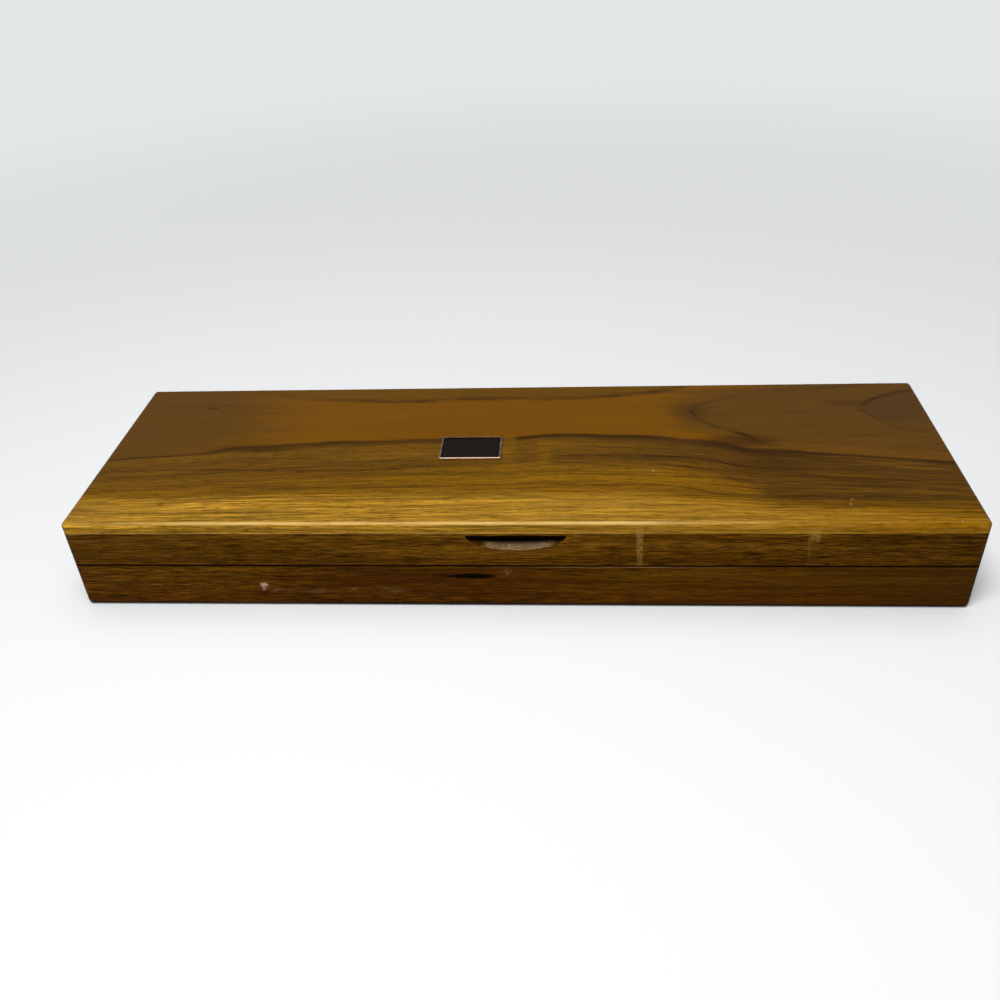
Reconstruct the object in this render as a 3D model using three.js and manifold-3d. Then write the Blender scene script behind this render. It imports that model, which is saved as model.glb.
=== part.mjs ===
// Walnut presentation case for a carving set: a mitred base, a hinged lid with a finger
// scoop, cloth linings, two fitted rests for the set and two brass butt hinges.
// Millimetres. X runs along the case, the front looks along -Y, Z is up, and the origin is
// the middle of the face that the case stands on.

import * as THREE from 'three';
import { mergeVertices } from 'three/addons/utils/BufferGeometryUtils.js';
import Module from 'manifold-3d';

const wasm = await Module();
wasm.setup();

// Case
const caseLength = 406;
const caseWidth = 125;
const baseRailHeight = 23.6;
const lidRailHeight = 17.5;
const lidBoardThickness = 5.4;
const railThickness = 11;
const seamGap = 0.4;
const mitreGap = 0.1;

// Rounded corners and eased edges
const cornerRadius = 2.5;
const topArris = 2;
const bottomArris = 2.2;
const seamEase = 0.3;
const boardEase = 0.25;

// Bottom panel, let into a rabbet from below
const bottomPanelThickness = 3.2;
const bottomPanelRecess = 0.8;
const rabbetWidth = 5;
const panelClearance = 0.3;

// Finger scoop in the lid's front rail
const scoopWidth = 45;
const scoopHeight = 8.1;
const scoopDepth = 6;
const scoopDrop = 0.9;
const scoopOffset = 2;
const scoopFullness = 2;

// Nameplate on the lid, left of the middle
const plateLength = 29.5;
const plateWidth = 19.5;
const plateThickness = 0.9;
const plateRimWidth = 0.8;
const plateRimHeight = 0.3;
const plateCornerRadius = 0.5;
const plateRound = 0.2;
const plateOffsetX = -22.2;
const plateOffsetY = -0.6;

// Butt hinges
const hingeSpacing = 250;
const knuckleSetIn = 1.4;
const hingeStopAngle = THREE.MathUtils.degToRad(50.5);
const leafLength = 32;
const leafSetback = 1.4;
const leafThickness = 1.2;
const knuckleCount = 5;
const knuckleRadius = 1.8;
const knuckleGap = 0.3;
const pinRadius = 0.8;
const pinClearance = 0.08;
const pinOverhang = 0.5;
const pinRound = 0.3;
const hingeClearance = 0.3;

// Countersunk slotted screws
const screwSpacing = 20;
const screwLength = 9;
const screwHeadRadius = 1.5;
const screwShankRadius = 0.8;
const screwTipLength = 1.6;
const screwSlotWidth = 0.4;
const screwSlotDepth = 0.35;
const screwSink = 0.05;
const screwClearance = 0.15;
const screwTurnShares = [0.12, 0.37];

// Cloth on card, inside the base and the lid
const liningThickness = 1.2;
const liningClearance = 0.3;
const liningDrop = 2;
const liningCornerRadius = 1.5;
const liningRound = 0.4;

// Rests for the handles and the blades
const restClearance = 0.4;
const restHeight = 15;
const restLip = 1.5;
const restEdgeRound = 1;
const handleRestWidth = 26;
const handleRestX = 92;
const bladeRestWidth = 18;
const bladeRestX = -108;
const restEndFlat = 2.2;
const cradleRadius = 12;
const knifeSlotWidth = 5;
const forkSlotWidth = 12;
const steelSlotWidth = 14;
const slotDepth = 11;

// Padded lining of the lid
const padClearance = 0.3;
const padCrown = 6.5;
const padEdge = 2.2;
const padDrawIn = 0.9;
const padShoulder = 6;
const padDomeShare = 0.16;
const padDrawInPower = 8;

// One overrun serves all cuts
const overrun = 2;

// Facets
const cornerSteps = 8;
const edgeSteps = 6;
const scoopProfileSteps = 10;
const scoopTurnSteps = 132;
const barrelSteps = 24;
const screwSteps = 16;
const arcSteps = 16;
const padStepsAlong = 36;
const padStepsAcross = 14;

// Levels and places that follow from the sizes above
const seamHeight = baseRailHeight + seamGap / 2;
const lidHeight = lidRailHeight + lidBoardThickness;
const innerLength = caseLength - 2 * railThickness;
const innerWidth = caseWidth - 2 * railThickness;
const hingeInset = knuckleRadius + knuckleSetIn;
const hingeY = caseWidth / 2 - hingeInset;
const leafDepth = railThickness - hingeInset - leafSetback;
const panelTop = bottomPanelRecess + bottomPanelThickness;
const liningFloor = panelTop + liningClearance + liningThickness;
const liningLength = innerLength - 2 * liningClearance;
const liningWidth = innerWidth - 2 * liningClearance;
const linedLength = liningLength - 2 * liningThickness;
const linedWidth = liningWidth - 2 * liningThickness;
const restHalfLength = linedWidth / 2 - restClearance;
const cradleLipReach = Math.sqrt((cradleRadius + restLip) ** 2 - restLip ** 2);
const placeSpacing = restHalfLength - restEdgeRound - restEndFlat - cradleLipReach;

// Solids and geometries

function solidFrom(geometry) {
  const bare = geometry.clone();
  bare.deleteAttribute('normal');
  bare.deleteAttribute('uv');
  const merged = mergeVertices(bare);
  return new wasm.Manifold(new wasm.Mesh({
    numProp: 3,
    vertProperties: Float32Array.from(merged.attributes.position.array),
    triVerts: Uint32Array.from(merged.index.array),
  }));
}

function geometryFrom(solid) {
  const mesh = solid.getMesh();
  const indexed = new THREE.BufferGeometry();
  indexed.setAttribute('position', new THREE.BufferAttribute(mesh.vertProperties, 3));
  indexed.setIndex(new THREE.BufferAttribute(mesh.triVerts, 1));
  const geometry = indexed.toNonIndexed();
  geometry.computeVertexNormals();
  return geometry;
}

function block(minX, maxX, minY, maxY, minZ, maxZ) {
  const geometry = new THREE.BoxGeometry(maxX - minX, maxY - minY, maxZ - minZ);
  geometry.translate((minX + maxX) / 2, (minY + maxY) / 2, (minZ + maxZ) / 2);
  return solidFrom(geometry);
}

// A prism that stands on a plan outline.
function uprightPrism(points, bottom, top) {
  const outline = new THREE.Shape(points.map(([x, y]) => new THREE.Vector2(x, y)));
  const geometry = new THREE.ExtrudeGeometry(outline, { depth: top - bottom, bevelEnabled: false });
  geometry.translate(0, 0, bottom);
  return solidFrom(geometry);
}

// A bar whose section is drawn in Y and Z, centred on X.
function barAlongX(section, length) {
  const geometry = new THREE.ExtrudeGeometry(section, {
    depth: length,
    bevelEnabled: false,
    curveSegments: arcSteps,
  });
  geometry.translate(0, 0, -length / 2);
  geometry.applyMatrix4(new THREE.Matrix4().makeBasis(
    new THREE.Vector3(0, 1, 0),
    new THREE.Vector3(0, 0, 1),
    new THREE.Vector3(1, 0, 0),
  ));
  return solidFrom(geometry);
}

// A solid of revolution about the vertical; the profile lists radius and height upwards.
function turned(profile, steps) {
  const points = profile.map(([radius, height]) => new THREE.Vector2(radius, height));
  const geometry = new THREE.LatheGeometry(points, steps);
  geometry.rotateX(Math.PI / 2);
  return solidFrom(geometry);
}

function rodAlongX(radius, length, steps) {
  const geometry = new THREE.CylinderGeometry(radius, radius, length, steps);
  geometry.rotateZ(Math.PI / 2);
  return solidFrom(geometry);
}

// The outline of a rounded rectangle at one height, drawn in by the inset.
function planRing(length, width, radius, inset, height) {
  const ring = [];
  for (let corner = 0; corner < 4; corner += 1) {
    const signX = corner === 0 || corner === 3 ? 1 : -1;
    const signY = corner < 2 ? 1 : -1;
    for (let step = 0; step <= cornerSteps; step += 1) {
      const angle = (Math.PI / 2) * (corner + step / cornerSteps);
      const reach = radius - inset;
      const x = signX * (length / 2 - radius) + reach * Math.cos(angle);
      const y = signY * (width / 2 - radius) + reach * Math.sin(angle);
      ring.push(new THREE.Vector3(x, y, height));
    }
  }
  return ring;
}

// Closed skin through rings that each have as many points, lowest ring first.
function loftRings(rings) {
  const count = rings[0].length;
  const index = [];
  for (let level = 0; level < rings.length - 1; level += 1) {
    for (let i = 0; i < count; i += 1) {
      const here = level * count + i;
      const beside = level * count + (i + 1) % count;
      index.push(here, beside, beside + count);
      index.push(here, beside + count, here + count);
    }
  }
  const last = (rings.length - 1) * count;
  for (let i = 1; i < count - 1; i += 1) {
    index.push(0, i + 1, i);
    index.push(last, last + i, last + i + 1);
  }
  const geometry = new THREE.BufferGeometry();
  const positions = rings.flat().flatMap((point) => point.toArray());
  geometry.setAttribute('position', new THREE.Float32BufferAttribute(positions, 3));
  geometry.setIndex(index);
  return solidFrom(geometry);
}

// The steps of a quarter turn round an edge; a sharp edge has just one.
function edgeAngles(round) {
  const steps = round > 0 ? edgeSteps : 0;
  return Array.from({ length: steps + 1 }, (_, step) => (Math.PI / 2) * (step / edgeSteps));
}

// A block with rounded upright corners and rounded lower and upper edges.
function roundedBlock({ length, width, radius, bottom, top, lowerRound, upperRound }) {
  const rings = [];
  for (const angle of edgeAngles(lowerRound)) {
    const inset = lowerRound * (1 - Math.sin(angle));
    rings.push(planRing(length, width, radius, inset, bottom + lowerRound * (1 - Math.cos(angle))));
  }
  for (const angle of edgeAngles(upperRound)) {
    const inset = upperRound * (1 - Math.cos(angle));
    rings.push(planRing(length, width, radius, inset, top - upperRound * (1 - Math.sin(angle))));
  }
  return loftRings(rings);
}

// Frames

// The part of the plan that belongs to one side of a mitred frame.
function mitreWedge(side, bottom, top) {
  const reachX = caseLength / 2 + overrun;
  const reachY = caseWidth / 2 + overrun;
  const apexX = (caseLength - caseWidth) / 2;
  const apexShift = mitreGap * Math.SQRT2;
  const outlines = {
    front: [[-reachX, -reachY], [reachX, -reachY], [apexX, 0], [-apexX, 0]],
    rear: [[reachX, reachY], [-reachX, reachY], [-apexX, 0], [apexX, 0]],
    left: [[-reachX, -reachY], [-apexX, 0], [-reachX, reachY]],
    right: [[reachX, reachY], [apexX, 0], [reachX, -reachY]],
  };
  const shiftY = { front: -apexShift, rear: apexShift, left: 0, right: 0 }[side];
  return uprightPrism(outlines[side].map(([x, y]) => [x, y + shiftY]), bottom - overrun, top + overrun);
}

function rectangularHole(length, width, bottom, top) {
  return block(-length / 2, length / 2, -width / 2, width / 2, bottom, top);
}

// The bevel behind the hinge line: the lid's meets the base's when the lid is fully open.
function stopBevel(axisHeight, upOrDown) {
  const reach = hingeInset + overrun;
  const rise = upOrDown * reach * Math.tan(hingeStopAngle);
  const section = new THREE.Shape([
    new THREE.Vector2(hingeY, axisHeight),
    new THREE.Vector2(hingeY + reach, axisHeight),
    new THREE.Vector2(hingeY + reach, axisHeight + rise),
  ]);
  return barAlongX(section, caseLength + 2 * overrun);
}

const hingeCentres = { left: -hingeSpacing / 2, right: hingeSpacing / 2 };

// Room for one hinge in a rear rail: the leaf's mortise, the barrel's groove, the screws' pilots.
function hingeRecess(centreX, axisHeight, upOrDown) {
  const leafReach = upOrDown * (seamGap / 2 + leafThickness);
  const low = Math.min(axisHeight, axisHeight + leafReach);
  const high = Math.max(axisHeight, axisHeight + leafReach);
  const mortise = block(
    centreX - leafLength / 2 - hingeClearance,
    centreX + leafLength / 2 + hingeClearance,
    hingeY - leafDepth - hingeClearance,
    hingeY,
    low,
    high,
  );
  const groove = rodAlongX(
    knuckleRadius + hingeClearance,
    leafLength + 2 * pinOverhang + 2 * hingeClearance,
    barrelSteps,
  ).translate([centreX, hingeY, axisHeight]);
  const pilots = screwPlaces().map((place) => {
    const pilot = turned([
      [0, 0],
      [screwShankRadius + screwClearance, 0],
      [screwShankRadius + screwClearance, screwLength + screwClearance],
      [0, screwLength + screwClearance],
    ], screwSteps);
    const turnedPilot = upOrDown > 0 ? pilot : pilot.rotate([180, 0, 0]);
    return turnedPilot.translate([centreX + place.x, hingeY + place.y, axisHeight]);
  });
  return pilots.reduce((sum, pilot) => sum.add(pilot), mortise.add(groove));
}

// The scoop: a shallow cutter path on a wide circle, flat above and hollow below.
function fingerScoop() {
  const halfWidth = scoopWidth / 2;
  const sweepRadius = (halfWidth ** 2 + scoopDepth ** 2) / (2 * scoopDepth);
  const top = lidRailHeight - scoopDrop;
  const bottom = top - scoopHeight;
  const profile = [[0, bottom]];
  for (let step = 0; step <= scoopProfileSteps; step += 1) {
    const rise = step / scoopProfileSteps;
    const depth = scoopDepth * (1 - (1 - rise) ** scoopFullness);
    profile.push([sweepRadius - scoopDepth + depth, bottom + scoopHeight * rise]);
  }
  profile.push([0, top]);
  const centreY = -caseWidth / 2 - (sweepRadius - scoopDepth);
  return turned(profile, scoopTurnSteps).translate([scoopOffset, centreY, 0]);
}

function baseFrame() {
  const outside = roundedBlock({
    length: caseLength,
    width: caseWidth,
    radius: cornerRadius,
    bottom: 0,
    top: baseRailHeight,
    lowerRound: bottomArris,
    upperRound: seamEase,
  });
  const rabbetLength = innerLength + 2 * rabbetWidth;
  const rabbetBreadth = innerWidth + 2 * rabbetWidth;
  const ring = outside
    .subtract(rectangularHole(innerLength, innerWidth, -overrun, baseRailHeight + overrun))
    .subtract(rectangularHole(rabbetLength, rabbetBreadth, -overrun, panelTop))
    .subtract(stopBevel(seamHeight, -1));
  return splitFrame(ring, 0, baseRailHeight);
}

function lidFrame() {
  const outside = roundedBlock({
    length: caseLength,
    width: caseWidth,
    radius: cornerRadius,
    bottom: 0,
    top: lidRailHeight,
    lowerRound: seamEase,
    upperRound: 0,
  });
  const ring = outside
    .subtract(rectangularHole(innerLength, innerWidth, -overrun, lidRailHeight + overrun))
    .subtract(stopBevel(-seamGap / 2, 1));
  return splitFrame(ring, 0, lidRailHeight);
}

function splitFrame(ring, bottom, top) {
  const sides = {};
  for (const side of ['front', 'rear', 'left', 'right']) {
    sides[side] = ring.intersect(mitreWedge(side, bottom, top));
  }
  return sides;
}

// Hinges

function screwPlaces() {
  const y = -(leafDepth + knuckleRadius) / 2;
  return [{ x: -screwSpacing / 2, y }, { x: screwSpacing / 2, y }];
}

// The spans along X of every second knuckle, from the first or the second on.
function knuckleSpans(first) {
  const length = (leafLength - (knuckleCount - 1) * knuckleGap) / knuckleCount;
  const spans = [];
  for (let i = first; i < knuckleCount; i += 2) {
    const start = -leafLength / 2 + i * (length + knuckleGap);
    spans.push([start, start + length]);
  }
  return spans;
}

function screwHeadHole() {
  const wide = screwHeadRadius + screwClearance;
  const narrow = screwShankRadius + screwClearance;
  return turned([
    [0, -seamGap / 2 - leafThickness - overrun],
    [narrow, -seamGap / 2 - leafThickness - overrun],
    [narrow, -seamGap / 2 - (wide - narrow)],
    [wide, -seamGap / 2],
    [wide, 0],
    [0, 0],
  ], screwSteps);
}

// The lower leaf; the upper one is the same with the other knuckles, turned over.
function hingeLeaf(firstKnuckle) {
  const inner = -seamGap / 2;
  let leaf = block(-leafLength / 2, leafLength / 2, -leafDepth, 0, inner - leafThickness, inner);
  for (const [start, end] of knuckleSpans(1 - firstKnuckle)) {
    leaf = leaf.subtract(block(
      start - knuckleGap,
      end + knuckleGap,
      -knuckleRadius - hingeClearance,
      overrun,
      inner - leafThickness - overrun,
      overrun,
    ));
  }
  for (const [start, end] of knuckleSpans(firstKnuckle)) {
    const knuckle = rodAlongX(knuckleRadius, end - start, barrelSteps);
    leaf = leaf.add(knuckle.translate([(start + end) / 2, 0, 0]));
  }
  leaf = leaf.subtract(rodAlongX(pinRadius + pinClearance, leafLength + 2 * overrun, barrelSteps));
  for (const place of screwPlaces()) {
    leaf = leaf.subtract(screwHeadHole().translate([place.x, place.y, 0]));
  }
  return leaf;
}

function hingePin() {
  const half = leafLength / 2 + pinOverhang;
  const pin = turned([
    [0, -half],
    [pinRadius - pinRound, -half],
    [pinRadius, -half + pinRound],
    [pinRadius, half - pinRound],
    [pinRadius - pinRound, half],
    [0, half],
  ], barrelSteps);
  return pin.rotate([0, 90, 0]);
}

// A screw that points down, its head's face just under the leaf's face.
function screw() {
  const headFace = -seamGap / 2 - screwSink;
  const tip = -screwLength;
  const body = turned([
    [0, tip],
    [screwShankRadius / 2, tip + screwTipLength / 2],
    [screwShankRadius, tip + screwTipLength],
    [screwShankRadius, headFace - (screwHeadRadius - screwShankRadius)],
    [screwHeadRadius, headFace],
    [0, headFace],
  ], screwSteps);
  const slot = block(
    -screwHeadRadius - overrun,
    screwHeadRadius + overrun,
    -screwSlotWidth / 2,
    screwSlotWidth / 2,
    headFace - screwSlotDepth,
    headFace + overrun,
  );
  return body.subtract(slot);
}

// Linings

function baseLining() {
  const top = baseRailHeight - liningDrop;
  const outside = roundedBlock({
    length: liningLength,
    width: liningWidth,
    radius: liningCornerRadius,
    bottom: panelTop + liningClearance,
    top,
    lowerRound: 0,
    upperRound: liningRound,
  });
  return outside.subtract(rectangularHole(linedLength, linedWidth, liningFloor, top + overrun));
}

function lidLining() {
  const outside = roundedBlock({
    length: liningLength,
    width: liningWidth,
    radius: liningCornerRadius,
    bottom: liningDrop,
    top: lidRailHeight - liningClearance,
    lowerRound: liningRound,
    upperRound: 0,
  });
  return outside.subtract(rectangularHole(linedLength, linedWidth, -overrun, lidRailHeight + overrun));
}

// A pad with a flat back, a crown, and sides drawn in between its corners.
function lidPad() {
  const length = linedLength - 2 * padClearance;
  const width = linedWidth - 2 * padClearance;
  const back = lidRailHeight - padClearance;
  const grid = (crowned) => {
    const rows = [];
    for (let j = 0; j <= padStepsAcross; j += 1) {
      for (let i = 0; i <= padStepsAlong; i += 1) {
        const u = Math.sin((Math.PI / 2) * ((2 * i) / padStepsAlong - 1));
        const v = Math.sin((Math.PI / 2) * ((2 * j) / padStepsAcross - 1));
        const nearSideX = (length / 2) * (1 - Math.abs(u));
        const nearSideY = (width / 2) * (1 - Math.abs(v));
        const drawX = padDrawIn * Math.sign(u) * Math.abs(u) ** padDrawInPower * Math.sqrt(1 - v ** 2);
        const drawY = padDrawIn * Math.sign(v) * Math.abs(v) ** padDrawInPower * Math.sqrt(1 - u ** 2);
        const roundX = Math.min(1, nearSideX / padShoulder);
        const roundY = Math.min(1, nearSideY / padShoulder);
        const puff = Math.sqrt(1 - (1 - roundX) ** 2) * Math.sqrt(1 - (1 - roundY) ** 2);
        const dome = 1 - padDomeShare * (u ** 2 + v ** 2);
        const thickness = padEdge + (padCrown - padEdge) * puff * dome;
        const x = (length / 2) * u - drawX;
        const y = (width / 2) * v - drawY;
        rows.push(new THREE.Vector3(x, y, crowned ? back - thickness : back));
      }
    }
    return rows;
  };
  const columns = padStepsAlong + 1;
  const rowsCount = padStepsAcross + 1;
  const points = [...grid(true), ...grid(false)];
  const offset = columns * rowsCount;
  const index = [];
  const quad = (a, b, c, d) => index.push(a, b, c, a, c, d);
  for (let j = 0; j < padStepsAcross; j += 1) {
    for (let i = 0; i < padStepsAlong; i += 1) {
      const a = j * columns + i;
      quad(a, a + columns, a + columns + 1, a + 1);
      quad(offset + a, offset + a + 1, offset + a + columns + 1, offset + a + columns);
    }
  }
  for (let i = 0; i < padStepsAlong; i += 1) {
    const far = padStepsAcross * columns + i;
    quad(i, i + 1, offset + i + 1, offset + i);
    quad(far + 1, far, offset + far, offset + far + 1);
  }
  for (let j = 0; j < padStepsAcross; j += 1) {
    const left = j * columns;
    const right = left + padStepsAlong;
    quad(left + columns, left, offset + left, offset + left + columns);
    quad(right, right + columns, offset + right + columns, offset + right);
  }
  const geometry = new THREE.BufferGeometry();
  const positions = points.flatMap((point) => point.toArray());
  geometry.setAttribute('position', new THREE.Float32BufferAttribute(positions, 3));
  geometry.setIndex(index);
  return solidFrom(geometry);
}

// Rests

const places = [
  { y: -placeSpacing, slotWidth: knifeSlotWidth },
  { y: 0, slotWidth: forkSlotWidth },
  { y: placeSpacing, slotWidth: steelSlotWidth },
];

// A block across the case with rounded upper edges and a dip for each piece of the set.
function rest(width, dipSection) {
  const roundY = restHalfLength - restEdgeRound;
  const roundZ = restHeight - restEdgeRound;
  const section = new THREE.Shape();
  section.moveTo(-restHalfLength, 0);
  section.lineTo(restHalfLength, 0);
  section.absarc(roundY, roundZ, restEdgeRound, 0, Math.PI / 2, false);
  section.absarc(-roundY, roundZ, restEdgeRound, Math.PI / 2, Math.PI, false);
  section.closePath();
  let body = barAlongX(section, width);
  for (const place of places) {
    body = body.subtract(barAlongX(dipSection(place), width + 2 * overrun));
  }
  return body;
}

// A half-round dip whose lips are rounded over.
function cradleSection({ y }) {
  const lipAngle = Math.asin(restLip / (cradleRadius + restLip));
  const lipHeight = restHeight - restLip;
  const section = new THREE.Shape();
  section.moveTo(y - cradleLipReach, restHeight + overrun);
  section.absarc(y - cradleLipReach, lipHeight, restLip, Math.PI / 2, lipAngle, true);
  section.absarc(y, restHeight, cradleRadius, lipAngle - Math.PI, -lipAngle, false);
  section.absarc(y + cradleLipReach, lipHeight, restLip, Math.PI - lipAngle, Math.PI / 2, true);
  section.lineTo(y + cradleLipReach, restHeight + overrun);
  section.closePath();
  return section;
}

// An upright slot with a round bottom and rounded lips.
function slotSection({ y, slotWidth }) {
  const half = slotWidth / 2;
  const lipHeight = restHeight - restLip;
  const section = new THREE.Shape();
  section.moveTo(y - half - restLip, restHeight + overrun);
  section.absarc(y - half - restLip, lipHeight, restLip, Math.PI / 2, 0, true);
  section.absarc(y, restHeight - slotDepth + half, half, -Math.PI, 0, false);
  section.absarc(y + half + restLip, lipHeight, restLip, Math.PI, Math.PI / 2, true);
  section.lineTo(y + half + restLip, restHeight + overrun);
  section.closePath();
  return section;
}

// The nameplate: a plate with a low rim around a bare field

function nameplate() {
  const plate = roundedBlock({
    length: plateLength,
    width: plateWidth,
    radius: plateCornerRadius,
    bottom: 0,
    top: plateThickness,
    lowerRound: 0,
    upperRound: plateRound,
  });
  const field = rectangularHole(
    plateLength - 2 * plateRimWidth,
    plateWidth - 2 * plateRimWidth,
    plateThickness - plateRimHeight,
    plateThickness + overrun,
  );
  return plate.subtract(field);
}

// Finishes

const finishes = {
  lidBoard: { color: 0x8a5f22, roughness: 0.42, metalness: 0 },
  lidRail: { color: 0x52360f, roughness: 0.45, metalness: 0 },
  baseRail: { color: 0x472a0a, roughness: 0.45, metalness: 0 },
  panel: { color: 0x6b4a2a, roughness: 0.8, metalness: 0 },
  velvet: { color: 0x3f0d16, roughness: 0.95, metalness: 0 },
  satin: { color: 0xdccfb4, roughness: 0.55, metalness: 0 },
  brass: { color: 0xb08a45, roughness: 0.32, metalness: 1 },
  plate: { color: 0x1c1413, roughness: 0.4, metalness: 0.6 },
};

function addPiece(parent, name, solid, finish) {
  const mesh = new THREE.Mesh(geometryFrom(solid), new THREE.MeshStandardMaterial(finishes[finish]));
  mesh.name = name;
  parent.add(mesh);
  return mesh;
}

// Assembly

const knifeCase = new THREE.Group();
const base = new THREE.Group();
const lid = new THREE.Group();
lid.position.z = baseRailHeight + seamGap;
knifeCase.add(base, lid);

// Base frame and its bottom
const baseSides = baseFrame();
for (const centreX of Object.values(hingeCentres)) {
  baseSides.rear = baseSides.rear.subtract(hingeRecess(centreX, seamHeight, -1));
}
addPiece(base, 'base_front_rail', baseSides.front, 'baseRail');
addPiece(base, 'base_rear_rail', baseSides.rear, 'baseRail');
addPiece(base, 'base_left_end', baseSides.left, 'baseRail');
addPiece(base, 'base_right_end', baseSides.right, 'baseRail');

const bottomPanel = rectangularHole(
  innerLength + 2 * rabbetWidth - 2 * panelClearance,
  innerWidth + 2 * rabbetWidth - 2 * panelClearance,
  0,
  bottomPanelThickness,
);
addPiece(base, 'base_bottom_panel', bottomPanel, 'panel').position.z = bottomPanelRecess;

// Linings and rests in the base
addPiece(base, 'base_lining', baseLining(), 'velvet');
const handleRest = addPiece(base, 'handle_rest', rest(handleRestWidth, cradleSection), 'velvet');
handleRest.position.set(handleRestX, 0, liningFloor + restClearance);
const bladeRest = addPiece(base, 'blade_rest', rest(bladeRestWidth, slotSection), 'velvet');
bladeRest.position.set(bladeRestX, 0, liningFloor + restClearance);

// Lid frame, board, lining and nameplate
const lidSides = lidFrame();
lidSides.front = lidSides.front.subtract(fingerScoop());
for (const centreX of Object.values(hingeCentres)) {
  lidSides.rear = lidSides.rear.subtract(hingeRecess(centreX, -seamGap / 2, 1));
}
addPiece(lid, 'lid_front_rail', lidSides.front, 'lidRail');
addPiece(lid, 'lid_rear_rail', lidSides.rear, 'lidRail');
addPiece(lid, 'lid_left_end', lidSides.left, 'lidRail');
addPiece(lid, 'lid_right_end', lidSides.right, 'lidRail');

const lidBoard = roundedBlock({
  length: caseLength,
  width: caseWidth,
  radius: cornerRadius,
  bottom: 0,
  top: lidBoardThickness,
  lowerRound: boardEase,
  upperRound: topArris,
});
addPiece(lid, 'lid_board', lidBoard, 'lidBoard').position.z = lidRailHeight;
addPiece(lid, 'lid_lining', lidLining(), 'satin');
addPiece(lid, 'lid_pad', lidPad(), 'satin');
addPiece(lid, 'nameplate', nameplate(), 'plate').position.set(plateOffsetX, plateOffsetY, lidHeight);

// Hinges: the lower leaf and the pin stay with the base, the upper leaf goes with the lid
for (const [side, centreX] of Object.entries(hingeCentres)) {
  const lower = new THREE.Group();
  lower.position.set(centreX, hingeY, seamHeight);
  base.add(lower);
  addPiece(lower, `${side}_hinge_lower_leaf`, hingeLeaf(0), 'brass');
  addPiece(lower, `${side}_hinge_pin`, hingePin(), 'brass');

  const upper = new THREE.Group();
  upper.position.set(centreX, hingeY, -seamGap / 2);
  lid.add(upper);
  addPiece(upper, `${side}_hinge_upper_leaf`, hingeLeaf(1).mirror([0, 0, 1]), 'brass');

  screwPlaces().forEach((place, i) => {
    const lowerScrew = addPiece(lower, `${side}_hinge_lower_screw_${i + 1}`, screw(), 'brass');
    lowerScrew.position.set(place.x, place.y, 0);
    lowerScrew.rotation.z = Math.PI * screwTurnShares[i];
    const upperScrew = addPiece(upper, `${side}_hinge_upper_screw_${i + 1}`, screw(), 'brass');
    upperScrew.position.set(place.x, place.y, 0);
    upperScrew.rotation.set(Math.PI, 0, Math.PI * screwTurnShares[i]);
  });
}

export default knifeCase;
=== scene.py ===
import math

import bpy
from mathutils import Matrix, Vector, noise as softNoise


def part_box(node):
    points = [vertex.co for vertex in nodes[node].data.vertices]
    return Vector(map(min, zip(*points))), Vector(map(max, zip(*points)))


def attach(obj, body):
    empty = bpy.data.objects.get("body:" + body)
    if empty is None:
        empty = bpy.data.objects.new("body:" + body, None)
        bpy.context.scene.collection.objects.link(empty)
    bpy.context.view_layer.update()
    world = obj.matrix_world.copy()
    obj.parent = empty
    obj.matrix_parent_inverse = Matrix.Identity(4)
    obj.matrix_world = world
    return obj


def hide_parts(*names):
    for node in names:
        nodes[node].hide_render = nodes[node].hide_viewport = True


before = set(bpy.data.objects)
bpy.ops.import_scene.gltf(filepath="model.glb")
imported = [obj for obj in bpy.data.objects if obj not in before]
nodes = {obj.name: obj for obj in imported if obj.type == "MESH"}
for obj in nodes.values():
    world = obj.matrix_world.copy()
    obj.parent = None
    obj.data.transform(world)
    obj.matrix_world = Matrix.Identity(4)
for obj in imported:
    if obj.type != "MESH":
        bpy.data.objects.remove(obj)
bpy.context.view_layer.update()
scene = bpy.context.scene
mm = 0.001
print("case frame loaded:", len(nodes), "pieces")


# Camera, where the photographer stood

cameraPlace = {
    "location": (26.65, -401.15, 297.28),
    "tilt": (55.025, 2.573, 3.350),
    "lens": 35.053,
    "sensor": 36.0,
}


def setCamera():
    lens = bpy.data.cameras.new("photo_camera")
    lens.lens = cameraPlace["lens"]
    lens.sensor_width = cameraPlace["sensor"]
    lens.clip_start = 0.01
    lens.clip_end = 50
    camera = bpy.data.objects.new("photo_camera", lens)
    camera.location = Vector(cameraPlace["location"]) * mm
    camera.rotation_euler = [math.radians(angle) for angle in cameraPlace["tilt"]]
    scene.collection.objects.link(camera)
    scene.camera = camera


setCamera()
scene.view_settings.view_transform = "Standard"


# Node helpers shared by every finish

def isSocket(value):
    return isinstance(value, bpy.types.NodeSocket)


def setInputs(tree, node, inputs):
    for name, value in inputs.items():
        if isSocket(value):
            tree.links.new(value, node.inputs[name])
        else:
            node.inputs[name].default_value = value


def addNode(tree, kind, inputs, **settings):
    node = tree.nodes.new(kind)
    for name, value in settings.items():
        setattr(node, name, value)
    setInputs(tree, node, inputs)
    return node


def maths(tree, operation, first, second=0.0, clamp=False):
    inputs = {0: first, 1: second}
    return addNode(tree, "ShaderNodeMath", inputs, operation=operation, use_clamp=clamp).outputs[0]


def add(tree, first, second):
    return maths(tree, "ADD", first, second)


def minus(tree, first, second):
    return maths(tree, "SUBTRACT", first, second)


def times(tree, *values):
    product = values[0]
    for value in values[1:]:
        product = maths(tree, "MULTIPLY", product, value)
    return product


def strongest(tree, *values):
    result = values[0]
    for value in values[1:]:
        result = maths(tree, "MAXIMUM", result, value)
    return result


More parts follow.
